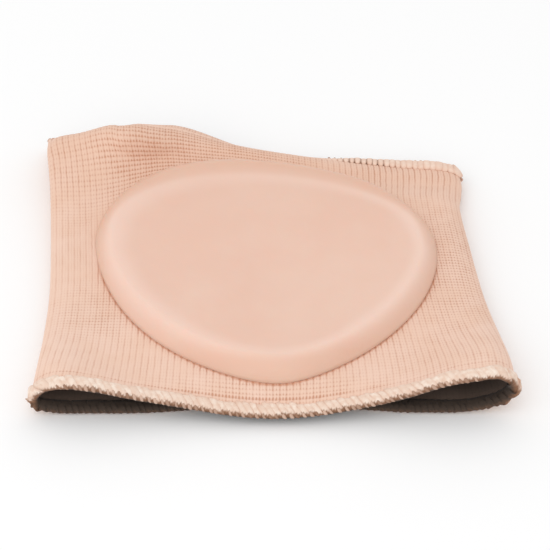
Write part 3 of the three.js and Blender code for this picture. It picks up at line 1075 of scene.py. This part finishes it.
def edging_strays(teeth):
    """How far each stitch and each tooth of an edging strays from the regular one."""
    return {
        "place": rng.normal(0, 0.08, STITCHES),
        "longer": rng.uniform(-0.35, 0.35, STITCHES),
        "lift": rng.normal(0, 0.05, STITCHES),
        "size": rng.normal(0, 0.06, STITCHES),
        "fringe": rng.normal(0, 8, STITCHES),
        "tone": rng.uniform(0.45, 1.0, STITCHES),
        "tooth_place": rng.normal(0, 0.12, teeth),
        "tooth_size": rng.uniform(0.7, 1.15, teeth),
        "tooth_shade": rng.uniform(0.16, 0.4, teeth),
    }


def stitch_path(band):
    """One stitch over the outer face, round the lip and back over the inner face: how far it lies beyond
    the lip and off the cloth, the way that it faces in degrees, its thickness, and how it gets longer."""
    flat = np.linspace(-band, 0, FLAT_POINTS + 1)[:-1]
    onward = flat + band
    bend = np.linspace(np.pi / 2, -np.pi / 2, BEND_POINTS)
    upright = np.full(FLAT_POINTS, np.pi / 2)
    end_dip = END_DIP * (1 - smoothstep(onward / END_DIP_REACH))
    off = NOSE + (PUFF * np.sin(np.pi * onward / band) - end_dip)
    thick = END_THICK + (1 - END_THICK) * smoothstep(onward / END_THICK_REACH)
    return {
        "beyond": np.concatenate([flat, NOSE * np.cos(bend), flat[::-1]]),
        "height": np.concatenate([off, NOSE * np.sin(bend), -off[::-1]]),
        "facing": np.degrees(np.concatenate([upright, bend, -upright])),
        "thick": np.concatenate([thick, np.ones(BEND_POINTS), thick[::-1]]),
        "stretch": np.concatenate([flat, 0 * bend, flat[::-1]]) / band,
    }


def stitch_sizes(edging, strays, thick):
    """Half the width and half the height of each stitch along its path."""
    centre = STITCH_AT / STITCHES
    sunk = plain_share(centre, edging["rear"])
    under = lower_share(centre)
    corner = smoothstep((across_share(centre) - CORNER_FROM) / CORNER_EASE)
    spread = edging["wide"] * (1 + LOWER_WIDER * under + edging["corner_wider"] * corner)
    lip = SLEEVE_LENGTH if edging["rear"] else 0.0
    ends = middle(np.arange(STITCHES + 1) / STITCHES, np.full(STITCHES + 1, lip))
    apart = np.linalg.norm(np.diff(ends, axis=0), axis=1) / STITCH_PITCH
    size = 1 + strays["size"]
    wide = CORD_WIDE * np.outer(size * spread * np.clip(apart, 1, WIDEST), thick)
    height = size * (1 - SUNK_LESS * sunk) * (1 - LOWER_LESS * under)
    high = CORD_HIGH * edging["high"] * np.outer(height, thick)
    return wide, high


def darkening(shades, start, facing):
    """How much painted shade thread gets that faces this way, by a list of shades that begin from a start.
    """
    total = 0
    for shade in shades:
        total = total + shade["share"] * smoothstep((start + shade["facing"] - facing) / shade["ease"])
    return total


def stitch_tones(edging, strays, around, arc, facing, gap_shade):
    """The values that the thread's material reads, painted shade among them, on the stitches of one edging.
    """
    rear = edging["rear"]
    share = across_share(around % 1)[..., None]
    sunken = plain_share(around, rear)[..., None]
    ragged = strays["fringe"][:, None, None]
    fringe = FRINGE + FRINGE_MIDDLE * bell(share - 0.5, FRINGE_REACH, FRINGE_REACH) + ragged
    upper_shade = darkening(UPPER_SHADES, fringe, facing) * edging["shade"] * (1 - sunken)
    lower_shade = darkening(REAR_LOWER_SHADES if rear else FRONT_LOWER_SHADES, 0, facing)
    shade = upper_shade + (lower_shade - upper_shade) * lower_share(around)[..., None]
    plain = np.maximum(sunken, END_PLAIN * (1 - smoothstep(arc / edging["blend"])))
    plain = np.maximum(plain, edging["plain"])
    if rear:
        dark_place = bell(share - DARK_GAP_AT, DARK_GAP_LEFT, DARK_GAP_RIGHT)
        shade = np.maximum(shade, DARK_GAP * gap_shade * dark_place)
    else:
        at_left = smoothstep((GAP_LEFT - share) / GAP_LEFT_EASE)
        at_right = smoothstep((share - GAP_RIGHT) / GAP_RIGHT_EASE)
        parted = 1 - GAP_SIDE_LESS * at_left - GAP_SIDE_LESS * at_right
        gap_shade = gap_shade * (GAP_LEAST + (1 - GAP_LEAST) * smoothstep(arc / edging["band"])) * parted
    tone = strays["tone"][:, None, None] + 0 * arc
    values = {"shade": shade, "plain": plain, "gap_shade": gap_shade, "tone": tone}
    return {key: value.ravel() for key, value in values.items()}


def lip_stitches(edging, strays):
    """Points, faces and values of the stitches round one lip."""
    path = stitch_path(edging["band"])
    beyond, height = path["beyond"], path["height"]
    slant = edging["slant"] * (np.linspace(0, 1, len(beyond)) - SLANT_FROM)
    around = ((STITCH_AT + edging["stray"] * strays["place"])[:, None] + slant) / STITCHES
    sunk = plain_share(STITCH_AT / STITCHES, edging["rear"])
    lift = (1 + strays["lift"]) * (1 - SUNK_LESS * sunk)
    longer = edging["stray"] * strays["longer"]
    wide, high = stitch_sizes(edging, strays, path["thick"])
    reach = beyond + np.outer(longer, path["stretch"])
    points, faces, gap_shade = lip_cords(
        edging["rear"], around, reach, np.outer(lift, height), wide, high, CORD_SIDES
    )
    # The tones follow the lip: they go by the distance along the path, less what the slant takes up
    length = np.concatenate([[0], np.cumsum(np.hypot(np.diff(beyond), np.diff(height)))])
    lean = math.sin(math.atan2(edging["slant"] * STITCH_PITCH, length[-1]))
    turn = np.linspace(0, 2 * np.pi, CORD_SIDES, endpoint=False)
    arc = length[:, None] - lean * wide[..., None] * np.cos(turn)
    facing = np.interp(arc, length, path["facing"])
    values = stitch_tones(edging, strays, around, arc, facing, gap_shade.reshape(arc.shape))
    return points, faces, values


def lip_teeth(edging, strays, teeth):
    """Points, faces and values of the teeth that show below the stitches, over the edge dark with painted
    shade.
    """
    out = NOSE + CORD_HIGH - TOOTH_SUNK
    slant = TOOTH_SLANT * np.linspace(-0.5, 0.5, len(TOOTH_DROP))
    around = ((teeth + TOOTH_ASIDE + strays["tooth_place"])[:, None] + slant) / STITCHES
    beyond = out * np.cos(TOOTH_DROP)
    height = out * np.sin(TOOTH_DROP)
    size = np.outer(strays["tooth_size"], TOOTH_TAPER)
    points, faces, gap_shade = lip_cords(
        edging["rear"], around, beyond, height, TOOTH_WIDE * size, TOOTH_HIGH * size, TOOTH_SIDES
    )
    # Teeth are tan with some painted shade, and dark with full painted shade on the lower wall
    dull = strays["tooth_shade"][:, None] + 0 * around
    shade = np.repeat(np.maximum(dull, lower_share(around)).ravel(), TOOTH_SIDES)
    none = np.zeros(len(shade))
    return points, faces, {"shade": shade, "plain": none, "gap_shade": gap_shade, "tone": none}


def overlock(name, edging, material):
    """Soft stitches that wrap one lip, and the teeth of thread that lock them at its edge."""
    first_tooth = edging["teeth_from"] * STITCHES
    last_tooth = TEETH_TO * STITCHES
    teeth = STITCH_AT[(STITCH_AT > first_tooth) & (STITCH_AT < last_tooth)]
    strays = edging_strays(len(teeth))
    points, faces, values = lip_stitches(edging, strays)
    tooth_points, tooth_faces, tooth_values = lip_teeth(edging, strays, teeth)
    faces += [[len(points) + corner for corner in face] for face in tooth_faces]
    points = np.concatenate([points, tooth_points])
    values = {key: np.concatenate([value, tooth_values[key]]) for key, value in values.items()}
    return mesh_piece(name, points, faces, [material], values=values)


# Floor, light and the photo's view. The floor and the light are in metres.
FLOOR_HALF = 3.0
SKY_COLOUR = (1, 1, 1, 1)
SKY_STRENGTH = 0.885
KEY_PLACE = (-0.32, -0.48, 0.68)
KEY_SIZE = 1.2
KEY_POWER = 2.2
TARGET = (2.08, 0.77, 0.0)
ELEVATION = 40.0
DISTANCE = 430.0
LENS = 135.9
SENSOR = 36.0
CLIP_START = 0.01


def stage():
    corners = np.array([[-1, -1, 0], [1, -1, 0], [1, 1, 0], [-1, 1, 0]]) * FLOOR_HALF / MM
    nodes = Nodes("floor")
    nodes.surface(FLOOR_COLOUR, FLOOR_SURFACE)
    floor = mesh_piece("floor", corners, [[0, 1, 2, 3]], [nodes.material])


def aim(thing, target):
    away = np.array(thing.location) - np.array(target)
    yaw = math.atan2(away[0], -away[1])
    pitch = math.atan2(math.hypot(away[0], away[1]), away[2])
    thing.rotation_euler = (pitch, 0, yaw)


def lights():
    world = bpy.data.worlds.new("studio")
    world.use_nodes = True
    sky = world.node_tree.nodes["Background"]
    sky.inputs["Color"].default_value = SKY_COLOUR
    sky.inputs["Strength"].default_value = SKY_STRENGTH
    bpy.context.scene.world = world
    data = bpy.data.lights.new("key", "AREA")
    data.shape = "DISK"
    data.size = KEY_SIZE
    data.energy = KEY_POWER
    light = bpy.data.objects.new("key", data)
    light.location = KEY_PLACE
    aim(light, (0, 0, 0))
    bpy.context.scene.collection.objects.link(light)


def camera():
    data = bpy.data.cameras.new("camera")
    data.lens = LENS
    data.sensor_width = SENSOR
    data.clip_start = CLIP_START
    eye = bpy.data.objects.new("camera", data)
    tilt = math.radians(ELEVATION)
    target = np.array(TARGET) * MM
    eye.location = target + DISTANCE * MM * np.array([0, -math.cos(tilt), math.sin(tilt)])
    aim(eye, target)
    bpy.context.scene.collection.objects.link(eye)
    bpy.context.scene.camera = eye


bpy.context.scene.view_settings.view_transform = "Standard"
stage()
lights()
camera()

outside = knit_material("knit", KNIT_OUTSIDE)
# The dark inner knit is painted shade for the inside of the sleeve
inside = knit_material("knit_inside_painted_shade", KNIT_INSIDE_PAINTED_SHADE)
thread = thread_material()

tube = knit_sleeve(outside, inside)
pad = gel_pad(gel_material())
front = overlock("front_overlock", FRONT_EDGING, thread)
rear = overlock("rear_overlock", REAR_EDGING, thread)

for piece, node, slot in (
    (tube, "knit_sleeve", "knit"),
    (pad, "gel_pad", "gel"),
    (front, "front_edging", "thread"),
    (rear, "rear_edging", "thread"),
):
    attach(piece, "root")
    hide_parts(node)
